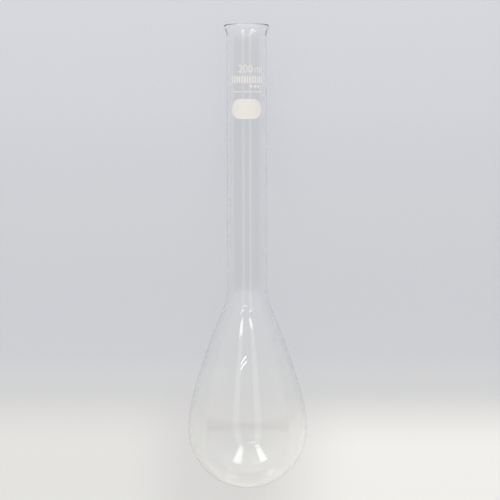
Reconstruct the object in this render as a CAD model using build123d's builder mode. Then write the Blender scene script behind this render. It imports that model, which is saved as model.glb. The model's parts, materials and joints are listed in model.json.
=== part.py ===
from build123d import *

# Kjeldahl flask: a pear-shaped digestion flask with a long straight neck.
# It is blown in one piece from clear borosilicate tube: a round base, a flank that narrows in
# one smooth S into the neck, and a mouth that is flared and melted round into a lip. A white
# enamel spot to write on is fired onto the neck, a little below the mouth.
#
# A round base can't stand, so the flask lies as it comes to rest on a table: on the bulb and
# the lip, with the mouth towards +Y and the enamel spot up. The origin is on the table, under
# the middle of the flask.

import math
import os

# Overall sizes, in millimetres
total_height = 280.0
bulb_diameter = 71.5
neck_diameter = 24.0
wall = 1.5

# Flank, as three arcs that meet at tangents: a full shoulder, a long stretch that is almost
# straight, and a hollow foot that turns back into the neck. The turn is in degrees.
shoulder_radius = 78.5
shoulder_turn = 15.8
flank_radius = 413.0
foot_radius = 40.0

# Mouth: the lip is a round bead, and both faces of the neck flare out into it
lip_thickness = 2.0
lip_overhang = 1.7
outer_flare_radius = 12.0
inner_flare_radius = 14.0

# Enamel writing spot: its width is measured along the curve of the neck
spot_width = 19.6
spot_height = 12.0
spot_corner = 5.6
spot_drop = 51.3
enamel_thickness = 0.1

bulb_radius = bulb_diameter / 2
neck_radius = neck_diameter / 2
bore_radius = neck_radius - wall
lip_radius = lip_thickness / 2
lip_centre = Vector(neck_radius + lip_overhang - lip_radius, total_height - lip_radius)

# The lean of the flank, in degrees, is the one that brings the three arcs in to the neck
shoulder_cosine = math.cos(math.radians(shoulder_turn))
flank_lean = math.degrees(
    math.acos(
        (
            shoulder_radius * (1 - shoulder_cosine)
            + flank_radius * shoulder_cosine
            + foot_radius
            - (bulb_radius - neck_radius)
        )
        / (flank_radius + foot_radius)
    )
)

# The axis dips towards the mouth until the bulb and the lip both touch the table
bulb_to_lip = lip_centre.Y - bulb_radius
rest_tilt = math.asin(
    (bulb_radius - lip_radius) / math.hypot(bulb_to_lip, lip_centre.X)
) - math.atan2(lip_centre.X, bulb_to_lip)
mouth_reach = (
    bulb_to_lip * math.cos(rest_tilt) + lip_centre.X * math.sin(rest_tilt) + lip_radius
)
bulb_centre = Vector(0, (bulb_radius - mouth_reach) / 2, bulb_radius)

# Mid-plane of the lying flask: its origin is the base's pole and its Y is the flask's axis
up_from_flask = Vector(0, math.sin(rest_tilt), math.cos(rest_tilt))
axis_direction = Vector(0, math.cos(rest_tilt), -math.sin(rest_tilt))
mid_plane = Plane(
    origin=bulb_centre - axis_direction * bulb_radius,
    x_dir=(1, 0, 0),
    z_dir=up_from_flask,
)
flask_axis = Axis(mid_plane.origin, axis_direction)


def bulb_face(inset):
    """One face of the bulb's wall: from its pole, up the flank, to the foot of the neck.

    The inner face is the outer one moved in by the wall, so each arc keeps its centre.
    """
    base = CenterArc((0, bulb_radius), bulb_radius - inset, -90, 90)
    shoulder = JernArc(base @ 1, base % 1, shoulder_radius - inset, shoulder_turn)
    flank = JernArc(
        shoulder @ 1, shoulder % 1, flank_radius - inset, flank_lean - shoulder_turn
    )
    foot = JernArc(flank @ 1, flank % 1, foot_radius + inset, -flank_lean)
    return base @ 0, foot @ 1


def flare(wall_radius, flare_radius, bead_side):
    """Start, middle and end of the arc that takes a wall of the neck into the lip.

    The arc leaves the straight wall at a tangent and meets the round lip at a tangent.
    bead_side is 1 where the lip lies outside the arc's circle and -1 where it lies inside.
    """
    reach = flare_radius + bead_side * lip_radius
    across = wall_radius + flare_radius - lip_centre.X
    rise = math.sqrt(reach**2 - across**2)
    centre = Vector(wall_radius + flare_radius, lip_centre.Y - rise)
    turn = math.atan2(rise, across)

    def at(angle):
        return centre + Vector(-math.cos(angle), math.sin(angle)) * flare_radius

    return at(0), at(turn / 2), at(turn)


outer_flare = flare(neck_radius, outer_flare_radius, 1)
inner_flare = flare(bore_radius, inner_flare_radius, -1)

# Half of the flask's section, turned round its axis
with BuildPart() as flask:
    with BuildSketch(mid_plane) as section:
        with BuildLine() as outline:
            outer_pole, neck_foot = bulb_face(0)
            neck = Line(neck_foot, outer_flare[0])
            outer_mouth = ThreePointArc(*outer_flare)
            lip = ThreePointArc(
                outer_mouth @ 1, lip_centre + Vector(0, lip_radius), inner_flare[2]
            )
            inner_mouth = ThreePointArc(*reversed(inner_flare))
            inner_pole, bore_foot = bulb_face(wall)
            bore = Line(inner_mouth @ 1, bore_foot)
            axis_edge = Line(inner_pole, outer_pole)
        make_face()
    revolve(axis=flask_axis)

# The spot is cut from a thin skin on the neck by a rounded rectangle, seen from above.
# Round the neck it has circular corners, so from above they are narrower than they are high.
half_height = spot_height / 2
half_arc = spot_width / 2
corner_height = min(spot_corner, half_height)
half_width = neck_radius * math.sin(half_arc / neck_radius)
corner_width = half_width - neck_radius * math.sin((half_arc - corner_height) / neck_radius)
spot_plane = Plane(
    origin=mid_plane.from_local_coords(Vector(0, total_height - spot_drop)),
    x_dir=mid_plane.x_dir,
    z_dir=mid_plane.z_dir,
)

with BuildPart() as marking_spot:
    with BuildSketch(spot_plane) as spot_outline:
        with BuildLine() as quarter:
            top = Line((0, half_height), (half_width - corner_width, half_height))
            corner = EllipticalCenterArc(
                (half_width - corner_width, half_height - corner_height),
                corner_width,
                corner_height,
                start_angle=90,
                arc_size=-90,
            )
            side = Line(corner @ 1, (half_width, 0))
            mirror(about=Plane.XZ)
            mirror(about=Plane.YZ)
        make_face()
    extrude(amount=neck_diameter)
    with BuildSketch(spot_plane) as skin_section:
        with Locations((neck_radius, 0)):
            Rectangle(enamel_thickness, neck_diameter, align=(Align.MIN, Align.CENTER))
    revolve(axis=flask_axis, mode=Mode.INTERSECT)

flask.part.label = "flask"
marking_spot.part.label = "marking_spot"

os.makedirs("parts", exist_ok=True)
export_step(flask.part, "parts/flask.step")
export_step(marking_spot.part, "parts/marking_spot.step")
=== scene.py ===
"""A kjeldahl flask of clear glass, lying on a pale table under soft studio light."""

import json
import math

import bpy
import numpy as np
from mathutils import Matrix, Vector


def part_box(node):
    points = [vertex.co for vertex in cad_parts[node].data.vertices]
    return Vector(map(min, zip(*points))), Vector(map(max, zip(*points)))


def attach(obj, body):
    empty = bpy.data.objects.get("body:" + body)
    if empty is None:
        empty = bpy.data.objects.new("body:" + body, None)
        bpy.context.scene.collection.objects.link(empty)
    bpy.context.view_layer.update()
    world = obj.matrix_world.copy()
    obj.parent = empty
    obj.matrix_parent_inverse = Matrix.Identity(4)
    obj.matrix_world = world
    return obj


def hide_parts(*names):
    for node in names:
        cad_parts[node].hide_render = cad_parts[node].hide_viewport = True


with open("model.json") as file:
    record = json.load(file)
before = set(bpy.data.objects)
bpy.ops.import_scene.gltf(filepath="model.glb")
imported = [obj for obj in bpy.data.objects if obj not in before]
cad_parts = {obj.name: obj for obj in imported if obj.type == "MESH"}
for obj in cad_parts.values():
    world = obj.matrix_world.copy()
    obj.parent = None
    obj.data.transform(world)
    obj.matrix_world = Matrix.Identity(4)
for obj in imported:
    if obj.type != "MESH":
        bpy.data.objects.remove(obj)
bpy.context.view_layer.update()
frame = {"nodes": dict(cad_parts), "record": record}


# The flask as it lies
# It rests on its bulb and its lip, so its axis dips towards the mouth. The mouth's mount
# gives the axis, and the box of the flask gives the middle of the round bulb.
flask_low, flask_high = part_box("flask")
mouth_mount = next(m for m in frame["record"]["mounts"] if m["name"] == "mouth")
axis = Vector(mouth_mount["axis"]).normalized()
across = Vector((1, 0, 0))
upwards = across.cross(axis)
bulb_radius = (flask_high.x - flask_low.x) / 2
bulb_centre = Vector((0, flask_low.y + bulb_radius, bulb_radius))
base_pole = bulb_centre - axis * bulb_radius
flask_frame = Matrix((across, axis, upwards)).transposed()


# Camera
# It looks straight down on the lying flask from 1.55 m, square to the axis and level with the
# upper neck, with the mouth at the top of the picture. The picture is 302.4 mm wide where the
# axis is, and it leans a little, as the photographed flask does.
camera_distance = 1.55
camera_along = 0.190
camera_side = 0.0019
camera_lean = -0.0028
picture_width = 0.3024
picture_middle = 0.1437

camera_data = bpy.data.cameras.new("camera")
camera_data.sensor_width = 36.0
camera_data.lens = camera_data.sensor_width * camera_distance / picture_width
camera_data.shift_y = (picture_middle - camera_along) / picture_width
camera_data.clip_start = 0.1
camera_data.clip_end = 30.0
camera = bpy.data.objects.new("camera", camera_data)
camera.matrix_world = (
    Matrix.Translation(
        base_pole + axis * camera_along + across * camera_side + upwards * camera_distance
    )
    @ flask_frame.to_4x4()
    @ Matrix.Rotation(camera_lean, 4, "Z")
)
bpy.context.scene.collection.objects.link(camera)
bpy.context.scene.camera = camera
bpy.context.scene.view_settings.view_transform = "Standard"


# Table
# A wide sheet of pale paper on a table, with light and shade painted into its colour: a cool
# grey of painted shade under the flask, painted light that makes it lighter and warmer by the
# base, most of all at its right, and painted light that makes it nearly white far beyond both ends.
table_size = 12.0
greys_along = (-0.20, 0.20)
base_light_along = (-0.083, -0.126)
left_light_across = (-0.03, -0.08)
right_light_across = (-0.01, 0.07)
past_mouth_along = (0.25, 0.60)
past_base_along = (-0.151, -0.20)

half_table = table_size / 2
table_mesh = bpy.data.meshes.new("table")
table_mesh.from_pydata(
    [(-half_table, -half_table, 0), (half_table, -half_table, 0),
     (half_table, half_table, 0), (-half_table, half_table, 0)],
    [],
    [(0, 1, 2, 3)],
)
table = bpy.data.objects.new("table", table_mesh)
bpy.context.scene.collection.objects.link(table)


def srgb(red, green, blue):
    """A screen colour, given from 0 to 255, as the linear colour that a shader takes."""
    screen = np.array([red, green, blue]) / 255
    linear = np.where(screen <= 0.04045, screen / 12.92, ((screen + 0.055) / 1.055) ** 2.4)
    return (*linear.tolist(), 1.0)


def node_adder(tree):
    """Empties a node tree, and gives a function that adds a node with its values and links."""
    tree.nodes.clear()

    def add(kind, inputs=None, **settings):
        node = tree.nodes.new(kind)
        for key, value in settings.items():
            setattr(node, key, value)
        for key, value in (inputs or {}).items():
            if isinstance(value, bpy.types.NodeSocket):
                tree.links.new(value, node.inputs[key])
            else:
                node.inputs[key].default_value = value
        return node

    return add


def new_material(name):
    """An empty node material, and the function that adds a node to it."""
    material = bpy.data.materials.new(name)
    material.use_nodes = True
    return material, node_adder(material.node_tree)


def ramp(add, factor, stops):
    """A colour ramp on factor, with stops of (position, colour)."""
    node = add("ShaderNodeValToRGB", {"Fac": factor})
    elements = node.color_ramp.elements
    while len(elements) < len(stops):
        elements.new(0.5)
    for element, (position, colour) in zip(elements, stops):
        element.position = position
        element.color = colour
    return node.outputs["Color"]


def even_share(add, value, start, end):
    """A share that goes evenly from 0 where value is start to 1 where it is end."""
    return add(
        "ShaderNodeMapRange", {"Value": value, "From Min": start, "From Max": end}
    ).outputs["Result"]


def smooth_share(add, value, start, end):
    """A share that goes smoothly from 0 where value is start to 1 where it is end."""
    return add(
        "ShaderNodeMapRange",
        {"Value": value, "From Min": start, "From Max": end},
        interpolation_type="SMOOTHSTEP",
    ).outputs["Result"]


def both(add, share, other):
    """The product of two shares, which is 1 only where both are."""
    return add("ShaderNodeMath", {0: share, 1: other}, operation="MULTIPLY").outputs["Value"]


def mix(add, share, colour, other):
    """A colour that turns into the other one as the share goes from 0 to 1."""
    return add("ShaderNodeMix", {"Factor": share, 6: colour, 7: other}, data_type="RGBA").outputs[2]


# Painted light by the base, at its left and at its right
painted_light_left = srgb(227, 227, 226)
painted_light_right = srgb(241, 240, 238)
# Painted light far beyond both ends of the flask
painted_light_far = srgb(252, 250, 246)

paper, add_paper = new_material("paper")
paper_place = add_paper(
    "ShaderNodeSeparateXYZ", {"Vector": add_paper("ShaderNodeTexCoord").outputs["Object"]}
)
along = paper_place.outputs["Y"]
sideways = paper_place.outputs["X"]
# The greys along the axis are painted light and shade: darker under the flask and lighter towards
# both ends
paper_and_painted_light = ramp(
    add_paper,
    even_share(add_paper, along, *greys_along),
    [
        (0.146, srgb(217, 217, 217)),
        (0.192, srgb(217, 217, 217)),
        (0.230, srgb(216, 215, 215)),
        (0.260, srgb(212, 212, 214)),
        (0.275, srgb(209, 210, 212)),
        (0.306, srgb(209, 210, 212)),
        (0.321, srgb(207, 208, 212)),
        (0.340, srgb(204, 206, 211)),
        (0.430, srgb(203, 204, 210)),
        (0.518, srgb(203, 205, 210)),
        (0.632, srgb(204, 206, 212)),
        (0.720, srgb(207, 208, 215)),
        (0.870, srgb(208, 210, 216)),
    ],
)
# Painted light by the base, to its left and right; the darker paper between them, under the base,
# is painted shade
by_base = smooth_share(add_paper, along, *base_light_along)
painted_light_by_base_left = both(add_paper, by_base, smooth_share(add_paper, sideways, *left_light_across))
painted_light_by_base_right = both(add_paper, by_base, smooth_share(add_paper, sideways, *right_light_across))
# Painted light: the paper turns nearly white far beyond the mouth and far beyond the base
painted_light_past_mouth = smooth_share(add_paper, along, *past_mouth_along)
painted_light_past_base = smooth_share(add_paper, along, *past_base_along)
for share, colour in (
    (painted_light_by_base_left, painted_light_left),
    (painted_light_by_base_right, painted_light_right),
    (painted_light_past_mouth, painted_light_far),
    (painted_light_past_base, painted_light_far),
):
    paper_and_painted_light = mix(add_paper, share, paper_and_painted_light, colour)
paper_face = add_paper("ShaderNodeBsdfDiffuse", {"Color": paper_and_painted_light})
add_paper("ShaderNodeOutputMaterial", {"Surface": paper_face.outputs["BSDF"]})
table.data.materials.append(paper)


# Flask
# One piece of clear borosilicate tube, blown to a pear-shaped bulb at one end and flared at
# the other. The wall is 1.5 mm thick all over, and the lip is melted round.
total_height = 0.280
neck_radius = 0.012
wall = 0.0015
shoulder_radius = 0.0785
shoulder_turn = math.radians(15.8)
flank_radius = 0.413
foot_radius = 0.040
lip_radius = 0.001
lip_overhang = 0.0017
outer_flare_radius = 0.012
inner_flare_radius = 0.014
lip_centre = (neck_radius + lip_overhang - lip_radius, total_height - lip_radius)

base_steps = 90
shoulder_steps = 36
flank_steps = 60
foot_steps = 36
neck_steps = 40
flare_steps = 24
lip_steps = 40
steps_round = 144


def arc(centre, radius, start, end, steps):
    """Points of a circle, each as (distance from the flask's axis, height above the pole).

    From the centre a point lies radius times the angle's cosine outwards and radius times
    its sine up, for even steps of the angle from start to end.
    """
    angle = np.linspace(start, end, steps)
    return np.column_stack(
        (centre[0] + radius * np.cos(angle), centre[1] + radius * np.sin(angle))
    )


def straight(start, end, steps):
    """Even steps between two points of a profile, without the two themselves."""
    return np.linspace(start, end, steps)[1:-1]


def bulb_side(inset):
    """One face of the bulb's wall, from its pole to the foot of the neck.

    It is a quarter circle, then three arcs that meet at tangents: two that lean in towards
    the axis, and a hollow one that turns back along the neck. An inset face keeps the centres.
    """
    lean_cosine = (
        shoulder_radius * (1 - math.cos(shoulder_turn))
        + flank_radius * math.cos(shoulder_turn)
        + foot_radius
        - (bulb_radius - neck_radius)
    ) / (flank_radius + foot_radius)
    lean = math.acos(lean_cosine)
    equator = np.array([0, bulb_radius])
    shoulder_centre = equator + [bulb_radius - shoulder_radius, 0]
    towards_flank = np.array([math.cos(shoulder_turn), math.sin(shoulder_turn)])
    flank_centre = shoulder_centre - towards_flank * (flank_radius - shoulder_radius)
    towards_foot = np.array([math.cos(lean), math.sin(lean)])
    foot_centre = flank_centre + towards_foot * (flank_radius + foot_radius)
    return np.concatenate(
        (
            arc(equator, bulb_radius - inset, -math.pi / 2, 0, base_steps),
            arc(shoulder_centre, shoulder_radius - inset, 0, shoulder_turn, shoulder_steps)[1:],
            arc(flank_centre, flank_radius - inset, shoulder_turn, lean, flank_steps)[1:],
            arc(foot_centre, foot_radius + inset, math.pi + lean, math.pi, foot_steps)[1:],
        )
    )


def flare_side(wall_radius, flare_radius, bead_side):
    """One face of the mouth: an arc from the straight wall out to the lip, and its last angle.

    bead_side is 1 where the round lip lies outside the arc's circle and -1 inside it.
    """
    reach = flare_radius + bead_side * lip_radius
    run = wall_radius + flare_radius - lip_centre[0]
    rise = math.sqrt(reach**2 - run**2)
    last_angle = math.pi - math.atan2(rise, run)
    centre = (wall_radius + flare_radius, lip_centre[1] - rise)
    return arc(centre, flare_radius, math.pi, last_angle, flare_steps), last_angle


def revolve(name, profile, steps):
    """A surface of revolution about the flask's axis.

    Each point of the profile (distance from the axis, height) is carried round a circle, and
    a point on the axis at either end of the profile becomes a single pole.
    """
    angle = np.linspace(0, 2 * math.pi, steps, endpoint=False)
    rings = profile[1:-1]
    local = np.stack(
        (
            rings[:, :1] * np.cos(angle),
            np.repeat(rings[:, 1:], steps, axis=1),
            rings[:, :1] * np.sin(angle),
        ),
        axis=-1,
    ).reshape(-1, 3)
    poles = np.array([[0, profile[0, 1], 0], [0, profile[-1, 1], 0]])
    local = np.concatenate((local, poles))
    world = local @ np.array(flask_frame).T + np.array(base_pole)
    first = np.arange(steps)
    after = (first + 1) % steps
    row = np.arange(len(rings) - 1)[:, None] * steps
    # Each face's corners are taken in reverse, so that it points out of the glass
    quads = np.stack(
        (row + first, row + after, row + steps + after, row + steps + first), axis=-1
    ).reshape(-1, 4)[:, ::-1]
    last = (len(rings) - 1) * steps
    start_pole, end_pole = len(rings) * steps, len(rings) * steps + 1
    start_fan = np.column_stack((first, after, np.full(steps, start_pole)))
    end_fan = np.column_stack((last + after, last + first, np.full(steps, end_pole)))
    mesh = bpy.data.meshes.new(name)
    mesh.from_pydata(
        world.tolist(), [], quads.tolist() + start_fan.tolist() + end_fan.tolist()
    )
    mesh.shade_smooth()
    piece = bpy.data.objects.new(name, mesh)
    bpy.context.scene.collection.objects.link(piece)
    return piece


outer_bulb = bulb_side(0)
inner_bulb = bulb_side(wall)
outer_flare, outer_end = flare_side(neck_radius, outer_flare_radius, 1)
inner_flare, inner_end = flare_side(neck_radius - wall, inner_flare_radius, -1)
lip_bead = arc(lip_centre, lip_radius, outer_end - math.pi, inner_end, lip_steps)
flask_profile = np.concatenate(
    (
        outer_bulb,
        straight(outer_bulb[-1], outer_flare[0], neck_steps),
        outer_flare,
        lip_bead[1:-1],
        inner_flare[::-1],
        straight(inner_flare[0], inner_bulb[-1], neck_steps),
        inner_bulb[::-1],
    )
)
flask = revolve("clear_flask", flask_profile, steps_round)
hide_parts("flask")
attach(flask, "root")
# Diffuse light from the paper passes the flask by. It would be lost in the glass, and the
# paper under the bulb would go dark.
flask.visible_diffuse = False

glass, add_glass = new_material("borosilicate_glass")
draw_marks = add_glass(
    "ShaderNodeTexNoise",
    {
        "Vector": add_glass("ShaderNodeTexCoord").outputs["Object"],
        "Scale": 14.0,
        "Detail": 0.0,
        "Roughness": 0.4,
    },
)
uneven_face = add_glass(
    "ShaderNodeBump",
    {"Height": draw_marks.outputs["Fac"], "Strength": 0.02, "Distance": 0.0001},
)
clear_body = add_glass(
    "ShaderNodeBsdfPrincipled",
    {
        "Base Color": (0.987, 0.989, 0.986, 1.0),
        "Roughness": 0.0,
        "IOR": 1.473,
        "Transmission Weight": 1.0,
        "Normal": uneven_face.outputs["Normal"],
    },
)
# Shadow rays go straight through, so that the glass throws only a faint shadow
shadow_tint = add_glass("ShaderNodeBsdfTransparent", {"Color": (0.955, 0.955, 0.955, 1.0)})
glass_or_shadow = add_glass(
    "ShaderNodeMixShader",
    {
        0: add_glass("ShaderNodeLightPath").outputs["Is Shadow Ray"],
        1: clear_body.outputs["BSDF"],
        2: shadow_tint.outputs["BSDF"],
    },
)
add_glass("ShaderNodeOutputMaterial", {"Surface": glass_or_shadow.outputs["Shader"]})
flask.data.materials.append(glass)


# Writing spot
# A rounded field of white enamel, fired onto the outside of the neck to take pencil. It keeps
# the solid's own form and gets the dull, faintly mottled face of fired enamel.
enamel, add_enamel = new_material("fired_enamel")
mottle = add_enamel(
    "ShaderNodeTexNoise",
    {
        "Vector": add_enamel("ShaderNodeTexCoord").outputs["Object"],
        "Scale": 900.0,
        "Detail": 3.0,
        "Roughness": 0.6,
    },
)
enamel_colour = ramp(
    add_enamel,
    mottle.outputs["Fac"],
    [(0.3, srgb(223, 220, 214)), (0.7, srgb(229, 226, 221))],
)
grain = add_enamel(
    "ShaderNodeBump",
    {"Height": mottle.outputs["Fac"], "Strength": 0.15, "Distance": 0.00004},
)
enamel_face = add_enamel(
    "ShaderNodeBsdfPrincipled",
    {
        "Base Color": enamel_colour,
        "Roughness": 0.6,
        "Normal": grain.outputs["Normal"],
    },
)
add_enamel("ShaderNodeOutputMaterial", {"Surface": enamel_face.outputs["BSDF"]})
spot = frame["nodes"]["marking_spot"]
spot.data.materials.clear()
spot.data.materials.append(enamel)


# Print
# White enamel print above the writing spot: the capacity in plain figures, a row of upright
# strokes, and short and long bars. It is laid out flat, as distances along the curve of the
# neck and heights above the base, and then bent round the neck.
print_skin = 0.00002
print_thickness = 0.00006
figures_middle = 0.0026
figures_width = 0.0154
figures_low, figures_high = 0.25055, 0.25525
stroke_count = 13
stroke_width = 0.0009
strokes_from, strokes_to = -0.0095, 0.0097
strokes_low, strokes_high = 0.2443, 0.2485
short_bar_width = 0.0016
short_bars_from = (0.0018, 0.0044, 0.0068)
short_bars_low, short_bars_high = 0.2416, 0.2430
long_bars = ((-0.0092, -0.0030), (-0.0020, 0.0040), (0.0050, 0.0100))
long_bars_low, long_bars_high = 0.2388, 0.2393
bar_columns = 8


def bend_round_neck(flat):
    """Flat places (along the curve, height, thickness) carried onto the neck.

    The distance along the curve over the radius is the angle from the top of the neck.
    """
    angle = flat[:, 0] / neck_radius
    reach = neck_radius + print_skin + flat[:, 2]
    local = np.column_stack((reach * np.sin(angle), flat[:, 1], reach * np.cos(angle)))
    return local @ np.array(flask_frame).T + np.array(base_pole)


def bars(rectangles, columns):
    """Vertices and quads of thin closed bars, each given as (left, right, low, high).

    Each bar is a ring of four corners, low and high, inner and outer, repeated across it.
    """
    left, right, low, high = np.array(rectangles).T[:, :, None, None]
    share_across = np.linspace(0, 1, columns)[None, :, None]
    corner_high = np.array([0, 1, 1, 0])[None, None, :]
    corner_out = np.array([0, 0, 1, 1])[None, None, :]
    ones = np.ones((len(rectangles), columns, 4))
    flat = np.stack(
        (
            (left + (right - left) * share_across) * ones,
            (low + (high - low) * corner_high) * ones,
            print_thickness * corner_out * ones,
        ),
        axis=-1,
    ).reshape(-1, 3)
    index = np.arange(len(rectangles) * columns * 4).reshape(len(rectangles), columns, 4)
    turned = np.roll(index, -1, axis=2)
    sides = np.stack(
        (index[:, :-1], turned[:, :-1], turned[:, 1:], index[:, 1:]), axis=-1
    ).reshape(-1, 4)
    ends = np.concatenate((index[:, 0, ::-1], index[:, -1]))
    return flat, np.concatenate((sides, ends))


figures_curve = bpy.data.curves.new("figures", "FONT")
figures_curve.body = "200 ml"
figures_curve.size = 1.0
figures_curve.resolution_u = 6
figures_curve.space_word = 0.4
figures_text = bpy.data.objects.new("figures", figures_curve)
bpy.context.scene.collection.objects.link(figures_text)
bpy.context.view_layer.update()
figures_mesh = bpy.data.meshes.new_from_object(figures_text)
bpy.data.objects.remove(figures_text)

# The text is stretched to the width and the heights that the print has on the neck
drawn = np.empty(len(figures_mesh.vertices) * 3)
figures_mesh.vertices.foreach_get("co", drawn)
drawn = drawn.reshape(-1, 3)[:, :2]
drawn_share = (drawn - drawn.min(axis=0)) / (drawn.max(axis=0) - drawn.min(axis=0))
figures_flat = np.column_stack(
    (
        figures_middle + figures_width * (drawn_share[:, 0] - 0.5),
        figures_low + (figures_high - figures_low) * drawn_share[:, 1],
        np.full(len(drawn), print_thickness),
    )
)
figures_mesh.vertices.foreach_set("co", bend_round_neck(figures_flat).ravel())
figures = bpy.data.objects.new("capacity_figures", figures_mesh)

strokes = [
    (left, left + stroke_width, strokes_low, strokes_high)
    for left in np.linspace(strokes_from, strokes_to, stroke_count)
]
short_rectangles = [
    (left, left + short_bar_width, short_bars_low, short_bars_high) for left in short_bars_from
]
long_rectangles = [
    (left, right, long_bars_low, long_bars_high) for left, right in long_bars
]
bars_flat, bars_quads = bars(strokes + short_rectangles + long_rectangles, bar_columns)
bars_mesh = bpy.data.meshes.new("print_bars")
bars_mesh.from_pydata(bend_round_neck(bars_flat).tolist(), [], bars_quads.tolist())
print_bars = bpy.data.objects.new("print_bars", bars_mesh)

for piece in (figures, print_bars):
    bpy.context.scene.collection.objects.link(piece)
    piece.data.materials.clear()
    piece.data.materials.append(enamel)
    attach(piece, "root")


# Lamps
# Soft rectangular lamps. Each side has a short strip over the flask, a long one that is dim near
# the bulb and brighter further on, and a bright upright one beyond the mouth with a dark gap.
# Two thin tubes make the double fleck on the flank. Places are from the bulb's centre.
strips_above = 1.3
over_along = 0.18
over_width, over_length, over_radiance = 0.34, 0.36, 0.42
slope_width = 0.36
slope_parts = (("near", -0.35, 0.35, 0.22), ("far", 0.35, 1.25, 0.72))
mouth_along = 1.2
mouth_foot = 0.02
mouth_width, mouth_radiance = 0.30, 3.9
tubes_angle = math.radians(34.65)
tubes_distance = 1.3
tubes_side = -0.20
tubes_half_gap = 0.014
tubes_slant = 0.05
tube_width, tube_length, tube_radiance = 0.011, 0.30, 8.5


def strip(name, middle, facing, length_way, width, length, radiance):
    """A soft rectangular lamp with its middle at a place beside the bulb's centre.

    Its length lies along length_way, and radiance is the brightness of its face. Its power
    is the radiance times pi times its area.
    """
    data = bpy.data.lights.new(name, "AREA")
    data.shape = "RECTANGLE"
    data.size = width
    data.size_y = length
    data.energy = radiance * math.pi * width * length
    lamp = bpy.data.objects.new(name, data)
    back = -facing.normalized()
    side = length_way.cross(back).normalized()
    rotation = Matrix((side, back.cross(side), back)).transposed().to_4x4()
    lamp.matrix_world = Matrix.Translation(bulb_centre + middle) @ rotation
    bpy.context.scene.collection.objects.link(lamp)


for hand, over_side, mouth_side, gap_low, gap_high, mouth_top in (
    ("left", -0.56, -0.61, 1.12, 1.195, 1.365),
    ("right", 0.49, 0.38, 1.15, 1.24, 1.33),
):
    strip(
        f"over_strip_{hand}",
        across * over_side + axis * over_along + upwards * strips_above,
        -upwards,
        axis, over_width, over_length, over_radiance,
    )
    for part, start, end, radiance in slope_parts:
        strip(
            f"slope_strip_{hand}_{part}",
            across * over_side + axis * (start + end) / 2 + upwards * strips_above,
            -upwards,
            axis, slope_width, end - start, radiance,
        )
    for part, low, high in (("low", mouth_foot, gap_low), ("high", gap_high, mouth_top)):
        strip(
            f"mouth_strip_{hand}_{part}",
            across * mouth_side + axis * mouth_along + upwards * (low + high) / 2,
            -axis,
            upwards, mouth_width, high - low, mouth_radiance,
        )

towards_tubes = axis * math.sin(tubes_angle) + upwards * math.cos(tubes_angle)
above_tubes = axis * math.cos(tubes_angle) - upwards * math.sin(tubes_angle)
tubes_way = across + above_tubes * tubes_slant
for tube, drop in (("upper", tubes_half_gap), ("lower", -tubes_half_gap)):
    strip(
        f"tube_{tube}",
        towards_tubes * tubes_distance + across * tubes_side + above_tubes * drop,
        -towards_tubes,
        tubes_way, tube_width, tube_length, tube_radiance,
    )


# Room
# The glass mirrors it. It is dark straight above the flask, lighter to both sides of that along
# the axis, and lightest low beyond the base and low beyond the mouth. Below the table's level it
# is an even pale grey.
room_strength = 0.65
room_below = (0.80, 0.81, 0.83, 1.0)
below_level, above_level = -0.20, 0.10

room = bpy.data.worlds.new("soft_room")
bpy.context.scene.world = room
room.use_nodes = True
add_room = node_adder(room.node_tree)


def look_towards(direction):
    """How far the look goes towards a direction: the dot product of the two, from -1 to 1."""
    return add_room(
        "ShaderNodeVectorMath", {0: looking, 1: tuple(direction)}, operation="DOT_PRODUCT"
    ).outputs["Value"]


looking = add_room("ShaderNodeTexCoord").outputs["Generated"]
room_above = ramp(
    add_room,
    even_share(add_room, look_towards(axis), -1.0, 1.0),
    [
        (0.000, (2.40, 2.37, 2.30, 1.0)),
        (0.100, (2.00, 1.98, 1.93, 1.0)),
        (0.230, (1.60, 1.58, 1.54, 1.0)),
        (0.350, (1.25, 1.24, 1.21, 1.0)),
        (0.462, (1.02, 1.01, 1.00, 1.0)),
        (0.478, (0.56, 0.56, 0.57, 1.0)),
        (0.528, (0.54, 0.54, 0.55, 1.0)),
        (0.560, (1.25, 1.24, 1.22, 1.0)),
        (0.690, (1.22, 1.21, 1.19, 1.0)),
        (0.740, (0.96, 0.95, 0.94, 1.0)),
        (0.850, (1.00, 1.00, 1.00, 1.0)),
        (0.930, (1.50, 1.50, 1.50, 1.0)),
        (1.000, (1.80, 1.80, 1.80, 1.0)),
    ],
)
above_share = smooth_share(add_room, look_towards(upwards), below_level, above_level)
room_colour = mix(add_room, above_share, room_below, room_above)
room_light = add_room("ShaderNodeBackground", {"Color": room_colour, "Strength": room_strength})
add_room("ShaderNodeOutputWorld", {"Surface": room_light.outputs["Background"]})
